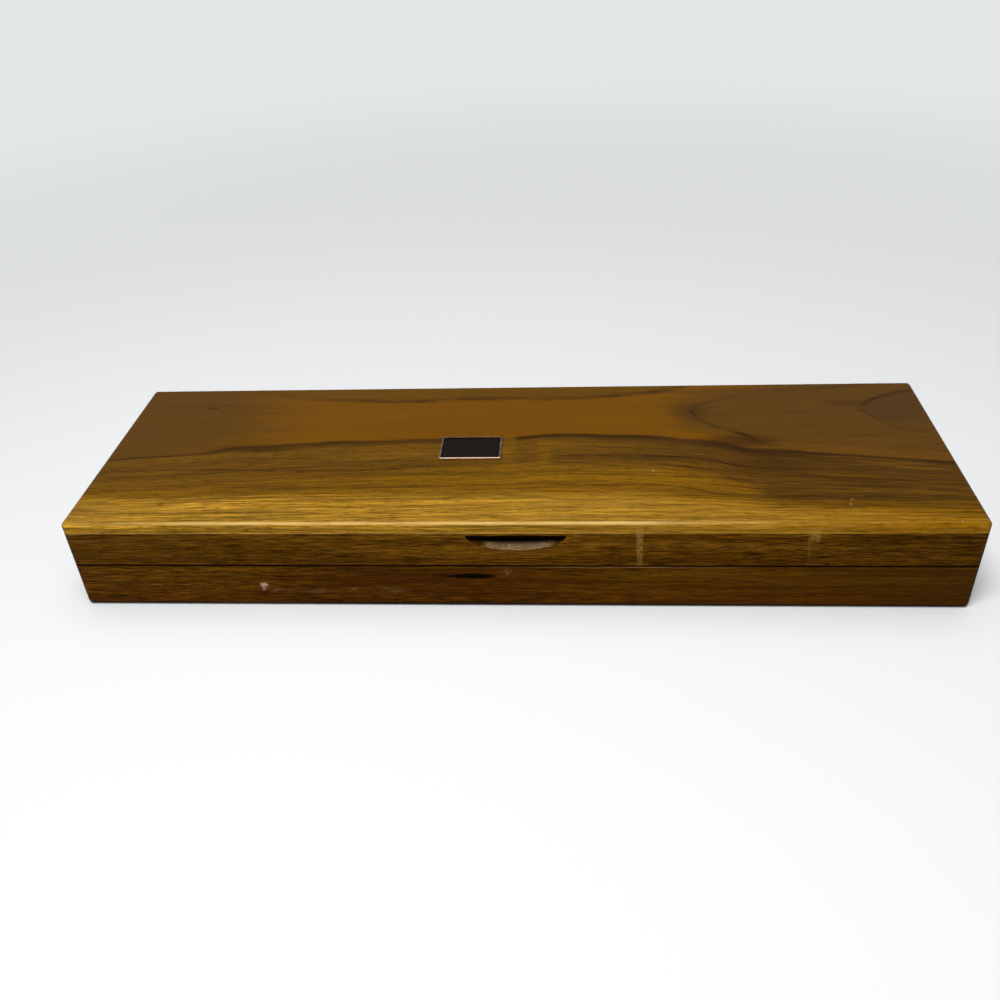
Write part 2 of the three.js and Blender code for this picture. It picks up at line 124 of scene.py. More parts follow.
# How far a value has gone from low to high, eased at both ends
def fade(tree, value, low, high, start=0.0, end=1.0):
    node = addNode(
        tree, "ShaderNodeMapRange",
        {"Value": value, "From Min": low, "From Max": high, "To Min": start, "To Max": end},
        interpolation_type="SMOOTHSTEP",
    )
    return node.outputs[0]


# One between low and high, nothing outside, with soft edges
def between(tree, value, low, high, soft):
    rise = fade(tree, value, low - soft, low + soft)
    fall = fade(tree, value, high - soft, high + soft, 1.0, 0.0)
    return times(tree, rise, fall)


# One inside an oval, nothing outside
def oval(tree, first, second, centre, reach, soft):
    sides = []
    for value, middle, half in zip((first, second), centre, reach):
        share = maths(tree, "DIVIDE", minus(tree, value, middle), half)
        sides.append(times(tree, share, share))
    distance = maths(tree, "SQRT", add(tree, *sides))
    return fade(tree, distance, 1 - soft, 1 + soft, 1.0, 0.0)


def mixColour(tree, amount, first, second):
    first, second = [value if isSocket(value) else (*value, 1) for value in (first, second)]
    inputs = {0: amount, 6: first, 7: second}
    return addNode(tree, "ShaderNodeMix", inputs, data_type="RGBA").outputs[2]


def gained(tree, colour, gain):
    return addNode(tree, "ShaderNodeVectorMath", {0: colour, "Scale": gain}, operation="SCALE").outputs[0]


# The colour made darker and lighter by a pattern
def shaded(tree, colour, pattern, darkShare, lightShare, amount=1.0, low=0.3, high=0.7):
    spread = fade(tree, pattern, low, high, darkShare, lightShare)
    return mixColour(tree, amount, colour, gained(tree, colour, spread))


# Noise whose grains have a size of their own along, across and up
def grains(tree, place, sizes, detail=2.0, roughness=0.5):
    shares = [maths(tree, "DIVIDE", value, size) for value, size in zip(place, sizes)]
    joined = addNode(tree, "ShaderNodeCombineXYZ", dict(enumerate(shares))).outputs[0]
    inputs = {"Vector": joined, "Scale": 1.0, "Detail": detail, "Roughness": roughness}
    return addNode(tree, "ShaderNodeTexNoise", inputs).outputs[0]


# A smooth line through listed points: gives the second number for the first
def lineThrough(tree, value, points):
    points = sorted(points)
    low, high = points[0][0], points[-1][0]
    bottom = min(p[1] for p in points)
    top = max(p[1] for p in points)
    share = maths(tree, "DIVIDE", minus(tree, value, low), high - low, clamp=True)
    curve = addNode(tree, "ShaderNodeFloatCurve", {"Value": share})
    mapped = curve.mapping.curves[0].points
    places = [((x - low) / (high - low), (y - bottom) / (top - bottom)) for x, y in points]
    mapped[0].location, mapped[1].location = places[0], places[-1]
    for place in places[1:-1]:
        mapped.new(*place)
    curve.mapping.update()
    return add(tree, times(tree, curve.outputs[0], top - bottom), bottom)


def newFinish(name):
    material = bpy.data.materials.new(name)
    material.use_nodes = True
    tree = material.node_tree
    return material, tree, tree.nodes["Principled BSDF"]


# The place on the object in millimetres, as three numbers
def placeInMillimetres(tree):
    coordinates = tree.nodes.new("ShaderNodeTexCoord").outputs["Object"]
    scaled = addNode(tree, "ShaderNodeVectorMath", {0: coordinates, "Scale": 1000.0}, operation="SCALE")
    return tuple(addNode(tree, "ShaderNodeSeparateXYZ", {0: scaled.outputs[0]}).outputs)


# Sinks the surface where the height is low, by up to a depth in millimetres
def addBump(tree, shader, strength, depth, height):
    inputs = {"Strength": strength, "Distance": depth * mm, "Height": height}
    setInputs(tree, shader, {"Normal": addNode(tree, "ShaderNodeBump", inputs).outputs[0]})


def dress(material, *names):
    for name in names:
        nodes[name].material_slots[0].material = material


# Walnut

lacquer = {
    "roughness": (0.25, 0.36),
    "specular": 0.02,
    "tint": (1.0, 0.62, 0.15),
    "pore depth": 0.08,
}


# The pattern in roughness keeps the satin uneven; pores are sunk and dull
def finishWood(tree, shader, colour, pattern, pores):
    smooth, dull = lacquer["roughness"]
    setInputs(tree, shader, {
        "Base Color": colour,
        "Roughness": add(tree, fade(tree, pattern, 0.3, 0.7, smooth, dull), times(tree, pores, 0.2)),
        "Specular IOR Level": lacquer["specular"],
        "Specular Tint": (*lacquer["tint"], 1),
    })
    addBump(tree, shader, 0.4, lacquer["pore depth"], minus(tree, 1.0, pores))


# Thin lines along the grain; more of them with a larger share
def thinLines(tree, place, length, width, share):
    pattern = grains(tree, place, (length, width, width), 1.0)
    return fade(tree, pattern, 0.70 - share, 0.80 - share)


# Signed distance from a line whose x is drawn for each y: more than nothing is right of it
def distanceFromLine(tree, x, y, points):
    step = 0.6
    here = lineThrough(tree, y, points)
    beside = lineThrough(tree, add(tree, y, step), points)
    slope = maths(tree, "DIVIDE", minus(tree, beside, here), step)
    stretch = maths(tree, "SQRT", add(tree, times(tree, slope, slope), 1.0))
    return maths(tree, "DIVIDE", minus(tree, x, here), stretch)


# Darkness of a growth line of some width, with a soft fall before and behind it
def growthStroke(tree, distance, width, before, behind):
    front = fade(tree, distance, -width / 2 - before, -width / 2)
    back = fade(tree, distance, width / 2, width / 2 + behind, 1.0, 0.0)
    return times(tree, front, back)


def distanceFromEdge(tree, first, second, edge):
    sides = [minus(tree, value, place) for value, place in zip((first, second), edge)]
    return maths(tree, "SQRT", add(tree, *[times(tree, side, side) for side in sides]))


# The case's outside, in millimetres
outline = {
    "halfLength": 203.0,
    "halfWidth": 62.5,
    "seam": (23.6, 24.0),
    "board": (41.5, 46.9),
}


def isFrontFace(tree, y):
    return fade(tree, y, -outline["halfWidth"] + 1.0, -outline["halfWidth"] + 0.6)


# What tape has left on the lid's front: a pale line that narrows downward and a pale patch
tape = {
    "colour": (0.280, 0.165, 0.036),
    "line left": [(24, 55.0), (34, 54.6), (46, 53.8)],
    "line right": 57.5,
    "line soft": 0.45,
    "line rise": (25, 38, 0.6, 0.9),
    "line fall": (44.5, 46.4, 1.0, 0.3),
    "patch": (128.2, 132.7),
    "patch rise": (35.5, 39.5),
    "patch fall": (43.0, 45.8),
    "tail": (127.9, 128.6, 0.4),
    "tail height": (28, 42, 2),
    "tail lean": 0.15,
    "colour on top": (0.330, 0.190, 0.045),
}


def tapeMarks(tree, x, y, z):
    onFront = fade(tree, y, -outline["halfWidth"] + 0.5, -outline["halfWidth"] + 1.0, 1.0, 0.0)
    left = minus(tree, x, lineThrough(tree, z, tape["line left"]))
    right = minus(tree, tape["line right"], x)
    soft = tape["line soft"]
    inLine = times(tree, fade(tree, left, -soft, soft + 0.5), fade(tree, right, -soft, soft))
    line = times(tree, inLine, fade(tree, z, *tape["line rise"]), fade(tree, z, *tape["line fall"]))
    height = times(tree, fade(tree, z, *tape["patch rise"]), fade(tree, z, *tape["patch fall"], 1.0, 0.0))
    patch = times(tree, between(tree, x, *tape["patch"], 1.0), height, 0.85)
    upright = add(tree, x, times(tree, minus(tree, z, 37.0), tape["tail lean"]))
    inTail = between(tree, upright, *tape["tail"])
    tail = times(tree, inTail, between(tree, z, *tape["tail height"]), 0.35)
    mottled = fade(tree, grains(tree, (x, y, z), (0.8, 0.8, 2.2), 3.0, 0.6), 0.36, 0.62, 0.30, 1.0)
    return times(tree, strongest(tree, line, patch, tail), mottled, onFront)


# The top board is flat-sawn. In front it has golden sapwood, then streaked olive heartwood up
# to one dark main line, and behind that smooth amber wood with umber cathedrals.
# Places are in millimetres on its upper face. A streak is its size along, across and up, then
# its detail and roughness; a thin line is its length, width and share
topBoard = {
    "sapwood": (0.390, 0.197, 0.0160),
    "sapwood right": (0.296, 0.130, 0.0032),
    "sunlit": (0.202, 0.0895, 0.0026),
    "sunlit right": (0.162, 0.0672, 0.0008),
    "olive": (0.151, 0.0662, 0.0032),
    "olive right": (0.106, 0.0444, 0.0022),
    "amber": (0.170, 0.0635, 0.0002),
    "umber": (0.108, 0.0460, 0.0040),
    "deep umber": (0.0885, 0.0378, 0.0070),
    "rear": (0.129, 0.0552, 0.0016),
    "rust": (0.150, 0.0550, 0.0040),
    "growth dark and edge shade": (0.034, 0.012, 0.0008),
    "pale grain": (0.520, 0.310, 0.075),
    "residue": (0.192, 0.083, 0.0022),
    "residue patches": [((-6.8, -0.8, 1.2), (-19, 10, 3)), ((10, 16.2, 1.6), (-21, 8, 3))],
    "wander": ((60, 20, 20), 3.0, 0.5),
    "wander reach": 0.6,
    "straight again": (0, 38, 1.0, -0.25),
    "front depth": 70.0,
    "streaks": [((150, 7.0, 7.0), 3.0), ((80, 1.6, 1.6), 3.0, 0.55), ((19, 0.64, 0.64), 2.0)],
    "lines": (46, 0.9, 0.13),
    "pores": (11, 0.42, 0.13),
    "dashes": (5.5, 0.46, 0.115),
    "pale lines": (18, 0.5, 0.12),
    "main line": [
        (-203, -9.2), (-185, -6.8), (-173, -5.6), (-161, -4.2), (-149, -1.7), (-137, 1.4), (-125, 1.7),
        (-113, 3.6), (-101, 4.6), (-89, 6.0), (-77, 6.0), (-60, 6.9), (-41, 7.6), (-17, 8.0), (-5, 8.4),
        (7, 10.2), (19, 11.5), (31, 11.5), (43, 10.3), (55, 9.9), (67, 8.8), (79, 6.2), (91, 4.0),
        (103, 0.0), (115, -4.3), (127, -4.9), (139, -6.8), (151, -8.2), (175, -11.6), (203, -15.6),
    ],
    "main line width": [
        (-203, 0.7), (-165, 1.0), (-146, 1.8), (-120, 2.3), (-100, 2.1), (-40, 1.8), (-5, 1.5),
        (30, 1.7), (70, 1.8), (95, 2.3), (118, 2.4), (136, 1.7), (160, 1.1), (203, 1.1),
    ],
    "rear line": [
        (-152, 63), (-138, 57.6), (-127, 53.6), (-115, 50.8), (-88, 48.6), (-52, 47.2),
        (-27, 48.8), (23, 48.6), (50, 50.7), (68, 54.0), (92, 63),
    ],
    "first cathedral": [
        (63, 190), (57.4, 160), (54.8, 140), (53, 121), (49.4, 110.4), (44.2, 98.2), (38.5, 90),
        (34, 87.2), (29.9, 88.5), (23.5, 91.6), (18.4, 97.6), (14.5, 104.4), (9.6, 111.2), (3.6, 117),
        (-3, 134), (-9, 170), (-15, 215),
    ],
    "second cathedral": [
        (54, 206), (51.2, 193.9), (47.7, 185.2), (42.5, 176.8), (38.2, 172.0), (35.4, 170.6),
        (32.6, 171.8), (28.3, 174.6), (21.9, 178.6), (17.4, 182.6), (13.1, 188), (9.4, 196), (6, 206),
    ],
    "first strength": [
        (-8, 0.0), (1, 0.2), (6, 0.85), (11, 0.95), (15, 0.45), (24, 0.42), (29, 0.6), (33, 0.7),
        (38, 0.35), (50, 0.25), (63, 0.2),
    ],
    "second strength": [(6, 0.0), (16, 0.15), (25, 0.6), (31, 0.95), (37, 1.0), (44, 1.0), (54, 0.9)],
    "left umber": [(62.5, -148), (45, -144), (30, -139), (20, -137), (12, -144), (5, -156), (0, -170)],
    "sapwood edge": [
        (-203, -44.2), (-173, -43.8), (-150, -43), (-116, -42), (-79, -41.5), (-42, -41), (0, -40),
        (30, -41), (60, -42.5), (83, -45.5), (101, -47.5), (118, -51), (152, -53), (186, -56), (203, -57),
    ],
    "sunlit edge": [
        (-203, -34), (-173, -33.5), (-135, -31.5), (-97, -29), (-79, -27), (-60, -23), (-42, -20),
        (-20, -17.5), (30, -18), (66, -19), (83, -23), (101, -31), (112, -39), (120, -44), (203, -48),
    ],
    "sap to right": (40, 210),
    "heart to right": (15, 105),
    "streak lines": [
        (0.8, [(12, -7.2), (64, -8.2), (88, -11), (104, -17.2), (118, -19.6), (150, -21)]),
        (0.5, [(12, -13.6), (56, -13.6), (71, -15.7), (96, -22), (112, -24.6), (150, -26)]),
        (0.4, [(18, -22.8), (57, -24.2), (88, -26.6), (130, -30)]),
        (0.5, [(10, -31.4), (40, -33), (63, -32.5), (80, -35.5), (96, -40.5), (135, -42.9)]),
        (0.55, [(-198, -20.6), (-153, -18.2), (-89, -19.4), (-36, -15.8), (-8, -14.6)]),
        (0.4, [(28, -0.4), (52, -0.8), (69, -4.4), (92, -6)]),
        (0.7, [(120, -26.6), (143, -27.7), (174, -29.6), (201, -31)]),
        (0.65, [(130, -32.2), (157, -33.5), (197, -36.1), (203, -36.4)]),
        (0.35, [(-160, -34.8), (-120, -33.4), (-60, -33.6), (-20, -31)]),
    ],
    "mottle": {"place": (124, -15), "reach": (26, 10)},
    "smears": [
        ((107, 4.8), (17, 5.0), 0.6, 1.1),
        ((86, 33), (9, 9), 0.7, 0.5),
        ((167, 41), (11, 4.0), 0.6, 0.60),
        ((-131, 0.8), (22, 3.6), 0.6, 0.80),
        ((144, 59), (26, 3.0), 0.6, 0.25),
        ((-175, 44), (20, 2.4), 0.7, 0.25),
        ((-163, 41.6), (3.2, 1.3), 0.5, 1.0),
    ],
    "line wear": (0.36, 0.58),
    "specks": [(64.5, -20.9), (148.8, -44.3), (147.5, -48.0), (190.6, -60.4)],
    "speck": {"reach": 0.55, "colour": (0.420, 0.300, 0.150)},
    # worn: paler worn wood, also the painted highlight along the front arris, and the band's pale lower
    # edge
    "worn": (0.715, 0.465, 0.152),
    "highlight line": (-61.25, 46.75),
    "highlight along": [
        (-203, 0.12), (-181, 0.25), (-165, 0.36), (-149, 0.62), (-133, 0.80), (-102, 1.0), (-70, 0.90),
        (-39, 0.90), (0, 1.0), (30, 1.0), (52, 1.0), (66, 0.62), (96, 0.36), (111, 0.16), (125, 0.05),
        (203, 0.03),
    ],
    "band shade": [(-203, 0.77), (0, 0.86), (90, 0.90), (203, 0.92)],
}


def topBoardFinish():
    settings = topBoard
    material, tree, shader = newFinish("top_board_walnut")
    x, y, z = placeInMillimetres(tree)
    halfLength, halfWidth = outline["halfLength"], outline["halfWidth"]
    low, high = outline["board"]

    # A slow wander keeps the drawn lines from looking ruled
    wander = grains(tree, (x, y, z), *settings["wander"])
    yy = add(tree, y, times(tree, minus(tree, wander, 0.5), settings["wander reach"]))
    mainLine = lineThrough(tree, x, settings["main line"])
    fromMain = minus(tree, yy, mainLine)
    # Grain follows the main line in front of it, and straightens out toward the back
    front = maths(tree, "DIVIDE", add(tree, yy, halfWidth), add(tree, mainLine, halfWidth), clamp=True)
    bend = times(tree, mainLine, fade(tree, fromMain, *settings["straight again"]))
    rear = strongest(tree, minus(tree, yy, bend), 0.0)
    inFrontPart = times(tree, front, settings["front depth"])
    across = add(tree, inFrontPart, times(tree, rear, fade(tree, fromMain, -1, 0)))
    place = (x, across, z)

    broad, medium, fine = [grains(tree, place, *streak) for streak in settings["streaks"]]
    lines = thinLines(tree, place, *settings["lines"])
    pores = thinLines(tree, place, *settings["pores"])
    dashes = thinLines(tree, (add(tree, x, 500.0), across, z), *settings["dashes"])
    pale = thinLines(tree, (x, across, add(tree, z, 40.0)), *settings["pale lines"])

    # In front: sapwood, a sunlit strip and streaked heartwood
    unevenly = times(tree, minus(tree, medium, 0.5), 8.0)
    below = minus(tree, unevenly, yy)
    isSap = fade(tree, add(tree, lineThrough(tree, x, settings["sapwood edge"]), below), -5.5, 5)
    isSunlit = fade(tree, add(tree, lineThrough(tree, x, settings["sunlit edge"]), below), -5, 5)
    toRight = fade(tree, x, *settings["sap to right"])
    sapColour = mixColour(tree, toRight, settings["sapwood"], settings["sapwood right"])
    sunlitColour = mixColour(tree, toRight, settings["sunlit"], settings["sunlit right"])
    heartToRight = fade(tree, x, *settings["heart to right"])
    heart = mixColour(tree, heartToRight, settings["olive"], settings["olive right"])
    heart = mixColour(tree, isSunlit, heart, sunlitColour)
    heart = mixColour(tree, isSap, heart, sapColour)

    # Behind: amber, the rear band, the umber at the left and in the two cathedrals
    behind = fade(tree, fromMain, -0.5, 0.9)
    rearLine = lineThrough(tree, x, settings["rear line"])
    fromRear = minus(tree, yy, rearLine)
    middle = mixColour(tree, fade(tree, fromRear, -2.5, 2), settings["amber"], settings["rear"])
    leftEdge = lineThrough(tree, y, settings["left umber"])
    ragged = times(tree, minus(tree, broad, 0.5), 26.0)
    leftZone = fade(tree, minus(tree, leftEdge, add(tree, x, ragged)), -40, 16)
    middle = mixColour(tree, leftZone, middle, settings["umber"])
    first = distanceFromLine(tree, x, yy, settings["first cathedral"])
    second = distanceFromLine(tree, x, yy, settings["second cathedral"])
    middle = mixColour(tree, fade(tree, first, -17, 1), middle, settings["umber"])
    inSecond = times(tree, fade(tree, second, -1.5, 2.5), fade(tree, yy, 10, 30, 0.35, 1.0))
    middle = mixColour(tree, inSecond, middle, settings["deep umber"])
    rustBand = times(tree, between(tree, fromMain, 1.0, 8.5, 2.5), fade(tree, x, 116, 136))
    middle = mixColour(tree, times(tree, rustBand, 0.6), middle, settings["rust"])
    colour = mixColour(tree, behind, heart, middle)

    # Dark wood where the main line and the first cathedral run together, and in front of it
    mottle = settings["mottle"]
    inMottle = oval(tree, x, yy, mottle["place"], mottle["reach"], 0.5)
    smears = [times(tree, inMottle, fade(tree, medium, 0.38, 0.60, 0.0, 0.95))]
    for centre, reach, soft, strength in settings["smears"]:
        smears.append(times(tree, oval(tree, x, yy, centre, reach, soft), strength))
    dark = settings["growth dark and edge shade"]
    colour = mixColour(tree, times(tree, strongest(tree, *smears), 0.6), colour, dark)

    # Growth lines: dark, crisp on one side and soft on the other, and broken here and there
    breaks = grains(tree, (x, yy, z), (22, 9, 9), 3.0, 0.6)
    broken = fade(tree, breaks, *settings["line wear"], 0.25, 1.0)
    share = maths(tree, "DIVIDE", fromMain, lineThrough(tree, x, settings["main line width"]))
    lineStrength = fade(tree, grains(tree, place, (60, 30, 30), 2.0), 0.3, 0.62, 0.5, 0.9)
    mainStroke = times(tree, growthStroke(tree, share, 0.7, 2.0, 1.0), lineStrength)
    firstShare = lineThrough(tree, yy, settings["first strength"])
    firstStroke = times(tree, growthStroke(tree, first, 0.6, 1.4, 2.4), broken, firstShare)
    secondShare = lineThrough(tree, yy, settings["second strength"])
    secondStroke = times(tree, growthStroke(tree, second, 0.5, 1.6, 1.6), broken, secondShare)
    rearShare = fade(tree, x, -125, -60, 0.25, 0.72)
    rearStroke = times(tree, growthStroke(tree, fromRear, 1.2, 2.6, 2.6), broken, rearShare)
    inMiddle = times(tree, strongest(tree, firstStroke, secondStroke, rearStroke), behind)
    colour = mixColour(tree, strongest(tree, mainStroke, inMiddle), colour, dark)
    for strength, points in settings["streak lines"]:
        away = minus(tree, yy, lineThrough(tree, x, points))
        reach = between(tree, x, points[0][0] + 6, points[-1][0] - 14, 12)
        stroke = times(tree, growthStroke(tree, away, 0.5, 1.1, 1.1), reach, broken, strength)
        colour = mixColour(tree, stroke, colour, dark)

    # Pale patches beside the nameplate, and a few pale specks
    patches = [
        times(tree, between(tree, x, *alongX), between(tree, yy, *alongY))
        for alongX, alongY in settings["residue patches"]
    ]
    colour = mixColour(tree, times(tree, strongest(tree, *patches), 0.7), colour, settings["residue"])
    speck = settings["speck"]
    specks = [oval(tree, x, y, spot, (speck["reach"], speck["reach"]), 0.3) for spot in settings["specks"]]
    colour = mixColour(tree, times(tree, strongest(tree, *specks), 0.7), colour, speck["colour"])

    # Streaks: clear before the main line, faint in the smooth wood behind it
    isBand = fade(tree, z, high - 1.6, high - 3.2)
    inFront = strongest(tree, fade(tree, fromMain, -1, 2, 1.0, 0.20), times(tree, isBand, 0.8))
    inHeart = fade(tree, x, 60, 140, 0.46, 0.98)
    inSap = fade(tree, x, -120, 90, 1.0, 0.64)
    streaky = times(tree, inFront, add(tree, inHeart, times(tree, isSap, minus(tree, inSap, inHeart))))
    cloudy = times(tree, inFront, fade(tree, x, 60, 150, 1.0, 0.55))
    colour = shaded(tree, colour, broad, 0.81, 1.19, cloudy)
    colour = shaded(tree, colour, medium, 0.70, 1.26, streaky)
    colour = shaded(tree, colour, fine, 0.62, 1.32, streaky, 0.34, 0.66)
    colour = mixColour(tree, times(tree, pale, isSap, inFront, 0.34), colour, settings["pale grain"])
    drawn = times(tree, inFront, fade(tree, x, -120, 90, 1.0, 0.76))
    for pattern, strength in ((lines, 0.42), (pores, 0.56), (dashes, 0.68)):
        colour = mixColour(tree, times(tree, pattern, drawn, strength), colour, dark)

    # The band on the front is darker, with a pale lower edge. The edges at the ends and the back get
    # painted shade, and the front edge a painted highlight over paler worn wood
    patchy = fade(tree, grains(tree, (x, y, z), (16, 4, 4), 3.0, 0.6), 0.3, 0.6, 0.55, 1.0)
    bandShade = lineThrough(tree, x, settings["band shade"])
    colour = mixColour(tree, isBand, colour, gained(tree, colour, bandShade))
    lowerEdge = times(tree, between(tree, z, low + 0.35, low + 0.75, 0.25), patchy, isFrontFace(tree, y))
    lowerEdge = times(tree, lowerEdge, fade(tree, x, 0, 120, 0.26, 0.08))
    colour = mixColour(tree, lowerEdge, colour, settings["worn"])
    # Painted shade along the ends and the back edge, in the dark grain colour
    atEnds = fade(tree, maths(tree, "ABSOLUTE", x), halfLength - 1.9, halfLength - 0.1)
    atBack = fade(tree, y, halfWidth - 1.6, halfWidth - 0.2)
    colour = mixColour(tree, times(tree, strongest(tree, atEnds, atBack), 0.6), colour, dark)
    # Painted highlight along the front arris, over paler worn wood
    fromHighlight = distanceFromEdge(tree, y, z, settings["highlight line"])
    along = lineThrough(tree, x, settings["highlight along"])
    worn = times(tree, fade(tree, fromHighlight, 0.25, 1.25, 1.0, 0.0), along, patchy)
    colour = mixColour(tree, worn, colour, settings["worn"])
    colour = mixColour(tree, times(tree, tapeMarks(tree, x, y, z), 0.7), colour, tape["colour on top"])
    finishWood(tree, shader, colour, broad, times(tree, pores, inFront))
    return material


# The rails: darker straight-grained walnut, the base redder and smoother than the lid.
# Contrast and tone are drawn along the case, the seam's and the foot's places up it
rails = {
    "lid_rail_walnut": {
        "colour": (0.067, 0.0255, 0.0007),
        "light": (0.096, 0.0402, 0.0026),
        "low": (0.062, 0.0225, 0.0006),
        "low below": (34.0, 26.0),
        "contrast": [(-203, 0.84), (-30, 0.95), (20, 0.98), (80, 1.0), (203, 1.0)],
        "tone": [(-203, 1.12), (-120, 1.12), (-10, 1.33), (60, 1.28), (120, 1.12), (203, 0.93)],
        "seam": (24.45, 24.15),
        "shift": 300.0,
    },
    "base_rail_walnut": {
        "colour": (0.054, 0.0185, 0.0006),
        "light": (0.078, 0.0310, 0.0012),
        "low": (0.062, 0.0185, 0.0005),
        "low below": (15.0, 3.0),
        "contrast": [
            (-203, 0.94), (-90, 0.98), (-50, 1.0), (-10, 1.0), (30, 0.72), (100, 0.58), (203, 0.42),
        ],
        "tone": [(-203, 1.32), (-130, 1.29), (-60, 1.11), (0, 1.09), (60, 1.22), (120, 1.12), (203, 0.89)],
        "seam": (23.15, 23.45),
        "shift": 1100.0,
    },
}

railGrain = {
    "streaks": [((110, 4.5, 4.5), 3.0), ((36, 1.4, 1.4), 3.0, 0.55), ((10, 0.50, 0.50), 2.0, 0.55)],
    "pores": (6.5, 0.40, 0.13),
    "dashes": (3.6, 0.42, 0.115),
    "pale lines": (8, 0.45, 0.11),
}

# Dark colour of the rails' pores and dashes, also used for the painted shade in the seam, under the foot
# and at the corners
railPoresAndShade = {
    "colour": (0.0060, 0.0016, 0.0003),
    "foot": (2.6, 1.2),
}


# How near a place is to the ends and to the long sides, between two depths
def nearOutside(tree, x, y, start, end):
    sides = ((x, outline["halfLength"]), (y, outline["halfWidth"]))
    return [fade(tree, maths(tree, "ABSOLUTE", v), half - start, half - end) for v, half in sides]


def railColour(tree, settings, along, across, z, x, y):
    shifted = add(tree, along, settings["shift"])
    wave = times(tree, minus(tree, grains(tree, (shifted, across, z), (70, 14, 14), 2.0), 0.5), 1.5)
    place = (shifted, across, add(tree, z, wave))
    broad, medium, fine = [grains(tree, place, *streak) for streak in railGrain["streaks"]]
    pores = thinLines(tree, place, *railGrain["pores"])
    dashes = thinLines(tree, (add(tree, shifted, 500.0), across, place[2]), *railGrain["dashes"])
    pale = thinLines(tree, (add(tree, shifted, 70.0), across, place[2]), *railGrain["pale lines"])
    contrast = lineThrough(tree, x, settings["contrast"])
    colour = mixColour(tree, fade(tree, broad, 0.35, 0.66), settings["colour"], settings["light"])
    isLow = fade(tree, z, *settings["low below"], 0.0, 0.75)
    colour = mixColour(tree, isLow, colour, settings["low"])
    colour = gained(tree, colour, lineThrough(tree, x, settings["tone"]))
    colour = shaded(tree, colour, medium, 0.68, 1.32, contrast, 0.34, 0.66)
    colour = shaded(tree, colour, fine, 0.38, 1.56, contrast, 0.34, 0.66)
    colour = mixColour(tree, times(tree, pale, contrast, 0.46), colour, settings["light"])
    for pattern, strength in ((pores, 0.44), (dashes, 0.50)):
        colour = mixColour(tree, times(tree, pattern, contrast, strength), colour, railPoresAndShade["colour"])

    # Painted shade in the seam, under the foot and at the corners, on the outside only
    skin = strongest(tree, *nearOutside(tree, x, y, 0.7, 0.3))
    rim = strongest(tree, *nearOutside(tree, x, y, 3.2, 1.8))
    corner = times(tree, *nearOutside(tree, x, y, 2.4, 0.5))
    seam = times(tree, fade(tree, z, *settings["seam"]), skin)
    foot = times(tree, fade(tree, z, *railPoresAndShade["foot"]), rim)
    paintedShade = strongest(tree, seam, foot, times(tree, corner, 0.55))
    return mixColour(tree, times(tree, paintedShade, 0.95), colour, railPoresAndShade["colour"]), medium, pores


def endRailFinish(name):
    material, tree, shader = newFinish(name + "_end")
    x, y, z = placeInMillimetres(tree)
    colour, pattern, pores = railColour(tree, rails[name], y, x, z, x, y)
    finishWood(tree, shader, colour, pattern, pores)
    return material


def longRailFinish(name, addMarks):
    material, tree, shader = newFinish(name)
    x, y, z = placeInMillimetres(tree)
    colour, pattern, pores = railColour(tree, rails[name], x, y, z, x, y)
    colour = addMarks(tree, colour, x, y, z)
    finishWood(tree, shader, colour, pattern, pores)
    return material


# The scoop's bare wood, and on the lid's front rail the tape's marks, scratches and a painted highlight
# along the lower edge
lidMarks = {
    "scoop": {"dark from": 35.3, "rise": 0.0068, "half": 24, "middle": 2, "height": (31.9, 40.75)},
    "bare wood": {"colour": (0.240, 0.148, 0.074), "from": -11.5, "to": 17.6, "soft": 3.0},
    "scoop wood": (0.060, 0.022, 0.0012),
    "scoop shade": (0.0012, 0.0004, 0.0002),
    "scratches": [((-198.0, 41.0), (3.4, 0.30)), ((-194.8, 37.5), (6.0, 0.30))],
    "pale marks and edge glint": (0.170, 0.085, 0.022),
    "seam marks": [(128.4, 135.4), (53.6, 60.2)],
}


